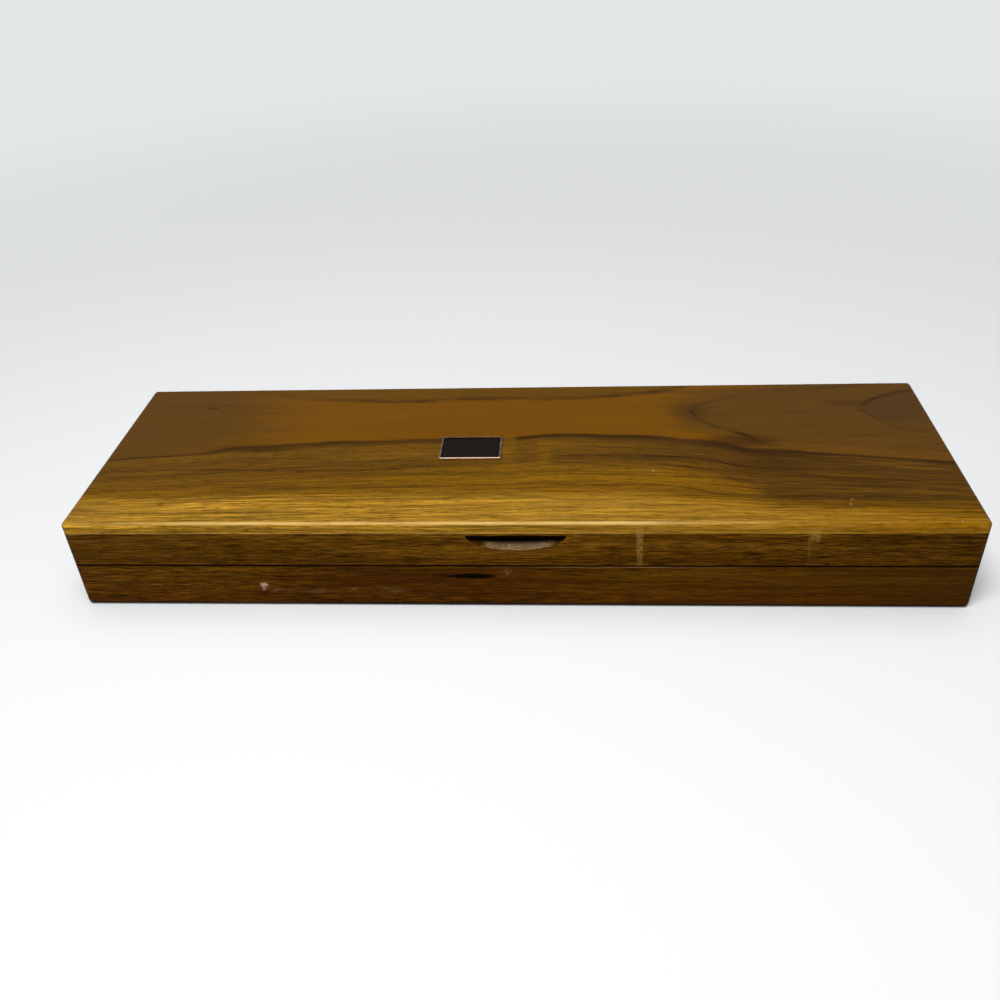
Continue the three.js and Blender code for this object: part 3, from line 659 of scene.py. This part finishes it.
def addLidMarks(tree, colour, x, y, z):
    marks = lidMarks
    onFront = isFrontFace(tree, y)
    seamTop = outline["seam"][1]
    broken = fade(tree, grains(tree, (x, y, z), (20, 3, 3), 3.0, 0.6), 0.36, 0.60)
    # Painted highlight on the eased lower edge just above the seam
    lowestEdge = between(tree, z, seamTop + 0.6, seamTop + 0.9, 0.25)
    edgeHighlight = times(tree, lowestEdge, fade(tree, x, 10, -40), broken, 0.7)
    spans = strongest(tree, *[between(tree, x, *span, 0.6) for span in marks["seam marks"]])
    seamMark = times(tree, spans, between(tree, z, 24.6, 24.9, 0.2), 0.9)
    scratches = [oval(tree, x, z, *scratch, 0.5) for scratch in marks["scratches"]]
    scratched = times(tree, strongest(tree, *scratches), 0.8)
    pale = times(tree, strongest(tree, edgeHighlight, seamMark, scratched), onFront)
    colour = mixColour(tree, pale, colour, marks["pale marks and edge glint"])
    colour = mixColour(tree, times(tree, tapeMarks(tree, x, y, z), 0.8), colour, tape["colour"])

    scoop = marks["scoop"]
    faceY = -outline["halfWidth"]
    inScoop = times(
        tree,
        between(tree, x, scoop["middle"] - scoop["half"], scoop["middle"] + scoop["half"], 0.05),
        between(tree, y, faceY + 0.16, faceY + 7, 0.06),
        between(tree, z, *scoop["height"], 0.05),
    )
    fibre = grains(tree, (x, y, z), (6.0, 1.0, 0.5), 3.0, 0.6)
    specks = grains(tree, (x, y, z), (0.8, 0.8, 0.6), 2.0, 0.6)
    bare = marks["bare wood"]
    fromMiddle = minus(tree, x, scoop["middle"])
    shadeFrom = add(tree, times(tree, fromMiddle, fromMiddle, scoop["rise"]), scoop["dark from"])
    ragged = times(tree, minus(tree, fibre, 0.5), 5.0)
    isBare = between(tree, add(tree, x, ragged), bare["from"], bare["to"], bare["soft"])
    inside = mixColour(tree, isBare, marks["scoop wood"], bare["colour"])
    inside = shaded(tree, inside, fibre, 0.62, 1.34)
    inside = shaded(tree, inside, specks, 0.50, 1.26)
    inShade = fade(tree, minus(tree, z, shadeFrom), -1.3, 0.15)
    inside = mixColour(tree, inShade, inside, marks["scoop shade"])
    return mixColour(tree, inScoop, colour, inside)


# The base's front rail: a small knot in reddish wood, a chip of two lobes, scuffs and a painted highlight
# along the upper edge
# Rows of ovals and chips: place, reach, softness, amount and colour
baseMarks = {
    "ovals": [
        ((-40, 14), (62, 8.0), 0.8, 0.45, (0.050, 0.0115, 0.0010)),
        ((-8, 18.8), (16, 2.6), 0.7, 0.55, (0.090, 0.0230, 0.0020)),
        ((-25, 17.9), (8.5, 0.85), 0.5, 0.9, (0.010, 0.0020, 0.0010)),
        ((-17.8, 17.9), (10.0, 1.5), 0.3, 1.0, (0.0006, 0.0002, 0.0001)),
    ],
    "chips": [
        ((-115.3, 12.5), (1.8, 1.05), 0.3, 1.0, (0.56, 0.38, 0.30)),
        ((-115.7, 10.5), (0.8, 1.5), 0.4, 0.8, (0.42, 0.25, 0.20)),
        ((-114.2, 10.6), (0.9, 0.9), 0.5, 0.5, (0.20, 0.10, 0.09)),
        ((-2.5, 19.3), (0.5, 0.4), 0.4, 0.8, (0.34, 0.23, 0.12)),
        ((-2.2, 21.0), (2.2, 1.8), 0.6, 0.25, (0.20, 0.12, 0.05)),
    ],
    "scuffs": [
        ((-105, 8.8), (7, 1.5)), ((-90, 9.0), (4.5, 1.7)), ((-73, 9.6), (4, 1.5)), ((-58, 9.2), (9, 2.2)),
    ],
    "scuff": (0.150, 0.080, 0.030),
    "edge highlight": (0.250, 0.135, 0.055),
}


def addBaseMarks(tree, colour, x, y, z):
    marks = baseMarks
    onFront = isFrontFace(tree, y)
    ragged = times(tree, minus(tree, grains(tree, (x, y, z), (0.55, 0.55, 0.55), 3.0, 0.7), 0.5), 2.6)
    mottled = fade(tree, grains(tree, (x, y, z), (0.4, 0.4, 0.4), 2.0, 0.6), 0.36, 0.60, 0.35, 1.0)
    long = times(tree, minus(tree, grains(tree, (x, y, z), (9, 1.2, 1.2), 3.0, 0.6), 0.5), 1.2)
    for kind, shift, texture in (("ovals", long, 1.0), ("chips", ragged, mottled)):
        xShifted, zShifted = add(tree, x, shift), add(tree, z, shift)
        for place, reach, soft, amount, shade in marks[kind]:
            mask = oval(tree, xShifted, zShifted, place, reach, soft)
            colour = mixColour(tree, times(tree, mask, onFront, amount, texture), colour, shade)
    strokes = fade(tree, grains(tree, (x, y, z), (4.5, 0.9, 0.9), 3.0, 0.6), 0.45, 0.66)
    patches = strongest(tree, *[oval(tree, x, z, *scuff, 0.5) for scuff in marks["scuffs"]])
    colour = mixColour(tree, times(tree, patches, strokes, onFront, 0.7), colour, marks["scuff"])
    # Painted highlight on the eased upper edge just below the seam
    seamBottom = outline["seam"][0]
    broken = fade(tree, grains(tree, (x, y, z), (20, 3, 3), 3.0, 0.6), 0.36, 0.60, 0.3, 1.0)
    edge = between(tree, z, seamBottom - 0.65, seamBottom - 0.3, 0.2)
    edgeHighlight = times(tree, edge, between(tree, x, 8, 92, 22), broken, onFront)
    return mixColour(tree, edgeHighlight, colour, marks["edge highlight"])


def plainRail(tree, colour, x, y, z):
    return colour


dress(topBoardFinish(), "lid_board")
for part, addMarks in (("lid", addLidMarks), ("base", addBaseMarks)):
    finishName = part + "_rail_walnut"
    dress(longRailFinish(finishName, addMarks), part + "_front_rail")
    dress(longRailFinish(finishName, plainRail), part + "_rear_rail")
    dress(endRailFinish(finishName), part + "_left_end", part + "_right_end")
print("walnut done")


# Plywood, brass and the nameplate

plywood = {
    "colour": (0.235, 0.130, 0.055),
    "light": (0.330, 0.200, 0.092),
    "dark": (0.105, 0.050, 0.018),
    "roughness": (0.76, 0.88),
    "grain depth": 0.10,
}


def plywoodFinish():
    material, tree, shader = newFinish("bare_plywood")
    place = placeInMillimetres(tree)
    broad = grains(tree, place, (150, 9, 9), 3.0)
    medium = grains(tree, place, (30, 1.4, 1.4), 3.0, 0.65)
    dashes = thinLines(tree, place, 9, 0.5, 0.14)
    colour = mixColour(tree, fade(tree, broad, 0.35, 0.65), plywood["colour"], plywood["light"])
    colour = shaded(tree, colour, medium, 0.75, 1.2)
    colour = mixColour(tree, times(tree, dashes, 0.6), colour, plywood["dark"])
    roughness = fade(tree, medium, 0.3, 0.7, *plywood["roughness"])
    setInputs(tree, shader, {"Base Color": colour, "Roughness": roughness})
    addBump(tree, shader, 0.5, plywood["grain depth"], minus(tree, 1.0, dashes))
    return material


brass = {
    "bright": (0.660, 0.470, 0.200),
    "tarnish": (0.430, 0.285, 0.115),
    "roughness": (0.32, 0.50),
    "scratch depth": 0.004,
}


def brassFinish():
    material, tree, shader = newFinish("tarnished_brass")
    place = placeInMillimetres(tree)
    patches = fade(tree, grains(tree, place, (7, 4, 4), 3.0, 0.5), 0.34, 0.72)
    scratches = grains(tree, place, (6, 0.2, 0.2), 2.0, 0.6)
    colour = mixColour(tree, times(tree, patches, 0.55), brass["bright"], brass["tarnish"])
    roughness = fade(tree, patches, 0, 1, *brass["roughness"])
    setInputs(tree, shader, {"Base Color": colour, "Roughness": roughness, "Metallic": 1.0})
    addBump(tree, shader, 0.5, brass["scratch depth"], scratches)
    return material


# The plate's field is bare: dull black enamel in a pale worn rim
plate = {
    "enamel": (0.0055, 0.0028, 0.0020),
    "worn enamel": (0.0180, 0.0100, 0.0075),
    "rim": (0.620, 0.400, 0.300),
    "rim dull": (0.085, 0.045, 0.028),
    "rim width": 0.65,
    "roughness": (0.46, 0.30),
    "specular": 0.03,
    "pitting": 0.02,
}


def plateFinish():
    material, tree, shader = newFinish("enamelled_plate")
    x, y, z = placeInMillimetres(tree)
    low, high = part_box("nameplate")
    middle = [(a + b) / 2 / mm for a, b in zip(low, high)]
    half = [(b - a) / 2 / mm for a, b in zip(low, high)]
    awayX = minus(tree, half[0] - plate["rim width"], maths(tree, "ABSOLUTE", minus(tree, x, middle[0])))
    awayY = minus(tree, half[1] - plate["rim width"], maths(tree, "ABSOLUTE", minus(tree, y, middle[1])))
    isRim = fade(tree, maths(tree, "MINIMUM", awayX, awayY), -0.08, 0.08, 1.0, 0.0)
    mottled = fade(tree, grains(tree, (x, y, z), (1.5, 1.5, 1.5), 4.0, 0.7), 0.35, 0.68)
    field = mixColour(tree, times(tree, mottled, 0.5), plate["enamel"], plate["worn enamel"])
    worn = fade(tree, grains(tree, (x, y, z), (3.0, 1.2, 1.2), 3.0, 0.7), 0.42, 0.66, 0.05, 0.55)
    atFront = fade(tree, minus(tree, y, middle[1]), 1.5 - half[1], 0.5 - half[1])
    rim = mixColour(tree, strongest(tree, worn, atFront), plate["rim dull"], plate["rim"])
    setInputs(tree, shader, {
        "Base Color": mixColour(tree, isRim, field, rim),
        "Metallic": isRim,
        "Roughness": fade(tree, isRim, 0, 1, *plate["roughness"]),
        "Specular IOR Level": plate["specular"],
    })
    addBump(tree, shader, 0.35, plate["pitting"], mottled)
    return material


dress(plywoodFinish(), "base_bottom_panel")
dress(plateFinish(), "nameplate")
dress(brassFinish(), *[name for name in nodes if "_hinge_" in name])
print("plywood, plate and hinges done")


# Modelling helpers

def deselectAll():
    bpy.ops.object.select_all(action="DESELECT")


def pick(piece):
    deselectAll()
    piece.select_set(True)
    bpy.context.view_layer.objects.active = piece


# A block between two corners, its edges rounded, as one selected piece
def addBlock(name, low, high, edge):
    deselectAll()
    bpy.ops.mesh.primitive_cube_add(size=1, location=[(a + b) / 2 for a, b in zip(low, high)])
    piece = bpy.context.object
    piece.name = piece.data.name = name
    piece.scale = [b - a for a, b in zip(low, high)]
    bpy.ops.object.transform_apply(location=True, rotation=True, scale=True)
    bpy.ops.object.mode_set(mode="EDIT")
    bpy.ops.mesh.select_all(action="SELECT")
    bpy.ops.mesh.bevel(offset=edge, segments=3, affect="EDGES")
    bpy.ops.object.mode_set(mode="OBJECT")
    bpy.ops.object.shade_smooth()
    return piece


def applyModifier(piece, kind, **settings):
    pick(piece)
    modifier = piece.modifiers.new(kind.lower(), kind)
    for name, value in settings.items():
        setattr(modifier, name, value)
    bpy.ops.object.modifier_apply(modifier=modifier.name)


# A slow wave over a piece along one direction, so that card and cloth are not dead flat
def ripple(piece, direction, height, size, seed):
    along = Vector(direction)
    shift = Vector((seed * 7.3, seed * 1.9, seed * 4.1))
    for vertex in piece.data.vertices:
        swell = softNoise.noise(vertex.co / size + shift)
        vertex.co += along * swell * height


# Velvet on card: a floor and four walls in the base

velvet = {
    "colour": (0.090, 0.0070, 0.0115),
    "rubbed": (0.150, 0.0165, 0.0230),
    "deep": (0.048, 0.0030, 0.0070),
    "roughness": 0.92,
    "specular": 0.1,
    "sheen": 0.22,
    "sheen roughness": 0.38,
    "sheen tint": (1.0, 0.30, 0.32),
    "nap depth": 0.16,
    "edge": 0.5,
    "fill": 0.2,
}


def velvetFinish():
    material, tree, shader = newFinish("dark_red_velvet")
    place = placeInMillimetres(tree)
    stroked = fade(tree, grains(tree, place, (26, 18, 18), 3.0, 0.55), 0.36, 0.66)
    tufts = grains(tree, place, (1.1, 1.1, 1.1), 3.0, 0.7)
    nap = grains(tree, place, (0.28, 0.28, 0.28), 2.0, 0.7)
    colour = mixColour(tree, times(tree, stroked, 0.6), velvet["colour"], velvet["rubbed"])
    colour = mixColour(tree, fade(tree, tufts, 0.36, 0.6, 0.55, 0.0), colour, velvet["deep"])
    colour = shaded(tree, colour, nap, 0.72, 1.28)
    setInputs(tree, shader, {
        "Base Color": colour,
        "Roughness": velvet["roughness"],
        "Specular IOR Level": velvet["specular"],
        "Sheen Weight": velvet["sheen"],
        "Sheen Roughness": velvet["sheen roughness"],
        "Sheen Tint": (*velvet["sheen tint"], 1),
    })
    height = add(tree, nap, times(tree, tufts, 0.8))
    addBump(tree, shader, 0.6, velvet["nap depth"], height)
    return material


lining = {
    "thickness": 1.2,
    "corner gap": 0.15,
    "wave": 0.12,
    "wave size": 32,
    "cuts": 14,
}


def waveLining(piece, direction, seed):
    pick(piece)
    bpy.ops.object.mode_set(mode="EDIT")
    bpy.ops.mesh.select_all(action="SELECT")
    bpy.ops.mesh.subdivide(number_cuts=lining["cuts"])
    bpy.ops.object.mode_set(mode="OBJECT")
    ripple(piece, direction, lining["wave"] * mm, lining["wave size"] * mm, seed)


# Four covered strips round the inside of a frame, as long as the box between the corners allows
def liningStrips(prefix, low, high):
    thick = lining["thickness"] * mm
    gap = lining["corner gap"] * mm
    x0, y0, z0 = low
    x1, y1, z1 = high
    corners = {
        "front": ((x0, y0, z0), (x1, y0 + thick, z1)),
        "rear": ((x0, y1 - thick, z0), (x1, y1, z1)),
        "left": ((x0, y0 + thick + gap, z0), (x0 + thick, y1 - thick - gap, z1)),
        "right": ((x1 - thick, y0 + thick + gap, z0), (x1, y1 - thick - gap, z1)),
    }
    strips = []
    for number, (side, (start, end)) in enumerate(corners.items()):
        strip = addBlock(f"{prefix}_{side}_strip", start, end, velvet["edge"] * mm)
        waveLining(strip, (0, 1, 0) if side in ("front", "rear") else (1, 0, 0), number + 1)
        strips.append(strip)
    return strips


def finishSoft(piece, material, body, replaced):
    piece.data.materials.append(material)
    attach(piece, body)
    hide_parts(replaced)


def addBaseLining(material):
    low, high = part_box("base_lining")
    thick = lining["thickness"] * mm
    floor = addBlock("velvet_floor", low, (high.x, high.y, low.z + thick), velvet["edge"] * mm)
    waveLining(floor, (0, 0, 1), 9)
    wallLow = Vector((low.x, low.y, low.z + thick + 0.1 * mm))
    for piece in [floor, *liningStrips("velvet", wallLow, high)]:
        finishSoft(piece, material, "base", "base_lining")


# The rests: the wooden block's corners come out soft under the velvet
restCover = {
    "voxel": 0.8,
    "smoothing": 8,
    "wave": 0.14,
    "wave size": 11,
}


def addRest(name, node, material, seed):
    deselectAll()
    piece = bpy.data.objects.new(name, nodes[node].data.copy())
    scene.collection.objects.link(piece)
    pick(piece)
    bpy.ops.object.mode_set(mode="EDIT")
    bpy.ops.mesh.select_all(action="SELECT")
    bpy.ops.mesh.remove_doubles(threshold=0.001 * mm)
    bpy.ops.object.mode_set(mode="OBJECT")
    applyModifier(piece, "REMESH", mode="VOXEL", voxel_size=restCover["voxel"] * mm)
    applyModifier(piece, "SMOOTH", factor=0.5, iterations=restCover["smoothing"])
    ripple(piece, (0, 0, 1), restCover["wave"] * mm, restCover["wave size"] * mm, seed)
    bpy.ops.object.shade_smooth()
    piece.data.materials.clear()
    finishSoft(piece, material, "base", node)


velvetMaterial = velvetFinish()
addBaseLining(velvetMaterial)
addRest("velvet_handle_rest", "handle_rest", velvetMaterial, 3)
addRest("velvet_blade_rest", "blade_rest", velvetMaterial, 5)
print("velvet done")


# Satin in the lid: four walls and a pad that is stretched over wadding

satin = {
    "colour": (0.760, 0.655, 0.470),
    "aged": (0.640, 0.500, 0.300),
    "roughness": 0.42,
    "sheen": 0.25,
    "sheen roughness": 0.3,
    "thread": (2.4, 0.16, 0.16),
    "thread depth": 0.03,
    "fill": 0.25,
}


def satinFinish():
    material, tree, shader = newFinish("ivory_satin")
    place = placeInMillimetres(tree)
    aged = fade(tree, grains(tree, place, (60, 40, 40), 4.0, 0.6), 0.45, 0.72)
    threads = grains(tree, place, satin["thread"], 2.0, 0.6)
    slubs = thinLines(tree, place, 9, 0.25, 0.09)
    colour = mixColour(tree, times(tree, aged, 0.35), satin["colour"], satin["aged"])
    colour = shaded(tree, colour, threads, 0.88, 1.08)
    colour = mixColour(tree, times(tree, slubs, 0.25), colour, satin["aged"])
    setInputs(tree, shader, {
        "Base Color": colour,
        "Roughness": satin["roughness"],
        "Sheen Weight": satin["sheen"],
        "Sheen Roughness": satin["sheen roughness"],
    })
    height = add(tree, threads, times(tree, slubs, 0.6))
    addBump(tree, shader, 0.6, satin["thread depth"], height)
    return material


pad = {
    "start thickness": 2.6,
    "edge": 0.7,
    "voxel": 2.0,
    "pinned depth": 1.1,
    "pressure": 4.0,
    "shrink": -0.035,
    "stiffness": 6.0,
    "bending": 0.15,
    "frames": 20,
    "front limit": 34.8,
    "side limit": 0.15,
    "fill": 0.6,
}


# Widens a piece to fill the room between two corners, along x and y
def stretchInto(piece, low, high, room):
    for axis in (0, 1):
        places = [vertex.co[axis] for vertex in piece.data.vertices]
        first, last = min(places), max(places)
        start, end = low[axis] + room, high[axis] - room
        for vertex in piece.data.vertices:
            share = (vertex.co[axis] - first) / (last - first)
            vertex.co[axis] = start + share * (end - start)


def addLidPad(material):
    low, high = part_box("lid_pad")
    start = (low.x, low.y, high.z - pad["start thickness"] * mm)
    piece = addBlock("satin_lid_pad", start, high, pad["edge"] * mm)
    applyModifier(piece, "REMESH", mode="VOXEL", voxel_size=pad["voxel"] * mm)
    room = pad["side limit"] * mm
    stretchInto(piece, low, high, room)
    puff(piece, high.z)
    lowest = pad["front limit"] * mm
    for vertex in piece.data.vertices:
        place = vertex.co
        place.x = min(max(place.x, low.x + room), high.x - room)
        place.y = min(max(place.y, low.y + room), high.y - room)
        place.z = min(max(place.z, lowest), high.z)
    applyModifier(piece, "SUBSURF", levels=1, render_levels=1)
    bpy.ops.object.shade_smooth()
    finishSoft(piece, material, "lid", "lid_pad")


# The cloth swells away from its back, which stays where it is glued to the board
def puff(piece, back):
    pinned = piece.vertex_groups.new(name="glued_back")
    level = back - pad["pinned depth"] * mm
    pinned.add([v.index for v in piece.data.vertices if v.co.z > level], 1.0, "REPLACE")
    pick(piece)
    cloth = piece.modifiers.new("cloth", "CLOTH")
    settings = cloth.settings
    settings.quality = 6
    settings.mass = 0.2
    settings.vertex_group_mass = pinned.name
    settings.use_pressure = True
    settings.uniform_pressure_force = pad["pressure"]
    settings.shrink_min = pad["shrink"]
    settings.tension_stiffness = pad["stiffness"]
    settings.compression_stiffness = pad["stiffness"]
    settings.shear_stiffness = pad["stiffness"]
    settings.bending_stiffness = pad["bending"]
    settings.effector_weights.gravity = 0
    cloth.point_cache.frame_start = 1
    cloth.point_cache.frame_end = pad["frames"]
    for frameNumber in range(1, pad["frames"] + 1):
        scene.frame_set(frameNumber)
    bpy.ops.object.modifier_apply(modifier=cloth.name)
    scene.frame_set(1)
    piece.vertex_groups.clear()


satinMaterial = satinFinish()
addLidPad(satinMaterial)
for strip in liningStrips("satin", *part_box("lid_lining")):
    finishSoft(strip, satinMaterial, "lid", "lid_lining")
print("satin done")


# Floor and light

studio = {
    "floor size": 8.0,
    "floor colour": (0.925, 0.925, 0.928),
    "far colour": (0.775, 0.795, 0.805),
    "far": (0.20, 1.10),
    "sky colour": (0.96, 0.985, 1.0),
    "sky": [
        (0.0, 0.80), (0.22, 0.76), (0.36, 0.12), (0.50, 0.05), (0.66, 0.05), (0.80, 0.30),
        (0.90, 1.4), (1.0, 1.8),
    ],
    "sky shown": 0.80,
    "lamp place": (-0.10, -0.34, 0.84),
    "lamp size": 0.32,
    "lamp power": 4.4,
}


# One where a ray shows a surface, straight or in a reflection, and nothing where it lights one
def isShown(tree):
    path = tree.nodes.new("ShaderNodeLightPath").outputs
    names = ("Is Camera Ray", "Is Glossy Ray", "Is Transmission Ray")
    return strongest(tree, *[path[name] for name in names])


# Far from the case the floor is shown in an even pale colour, which lights nothing
def keepPale(tree, shader):
    place = tree.nodes.new("ShaderNodeTexCoord").outputs["Object"]
    away = addNode(tree, "ShaderNodeVectorMath", {0: place}, operation="LENGTH").outputs["Value"]
    amount = times(tree, fade(tree, away, *studio["far"]), isShown(tree))
    pale = addNode(tree, "ShaderNodeEmission", {"Color": (*studio["far colour"], 1), "Strength": 1.0})
    inputs = {0: amount, 1: shader.outputs[0], 2: pale.outputs[0]}
    mixed = addNode(tree, "ShaderNodeMixShader", inputs)
    output = [node for node in tree.nodes if node.type == "OUTPUT_MATERIAL"][0]
    setInputs(tree, output, {"Surface": mixed.outputs[0]})


def setStudio():
    deselectAll()
    bpy.ops.mesh.primitive_plane_add(size=studio["floor size"])
    floor = bpy.context.object
    floor.name = "floor"
    material, tree, shader = newFinish("pale_floor")
    colour = (*studio["floor colour"], 1)
    setInputs(tree, shader, {"Base Color": colour, "Roughness": 0.8, "Specular IOR Level": 0.1})
    keepPale(tree, shader)
    floor.data.materials.append(material)

    world = bpy.data.worlds.new("studio")
    scene.world = world
    world.use_nodes = True
    tree = world.node_tree
    direction = tree.nodes.new("ShaderNodeTexCoord").outputs["Generated"]
    up = addNode(tree, "ShaderNodeSeparateXYZ", {0: direction}).outputs[2]
    shown = isShown(tree)
    lighting = times(tree, lineThrough(tree, up, studio["sky"]), minus(tree, 1.0, shown))
    strength = add(tree, lighting, times(tree, shown, studio["sky shown"]))
    light = {"Color": (*studio["sky colour"], 1), "Strength": strength}
    setInputs(tree, tree.nodes["Background"], light)

    lamp = bpy.data.lights.new("softbox", "AREA")
    lamp.shape = "SQUARE"
    lamp.size = studio["lamp size"]
    lamp.energy = studio["lamp power"]
    holder = bpy.data.objects.new("softbox", lamp)
    holder.location = studio["lamp place"]
    aim = -holder.location
    holder.rotation_euler = aim.to_track_quat("-Z", "Y").to_euler()
    scene.collection.objects.link(holder)


setStudio()
print("studio done")
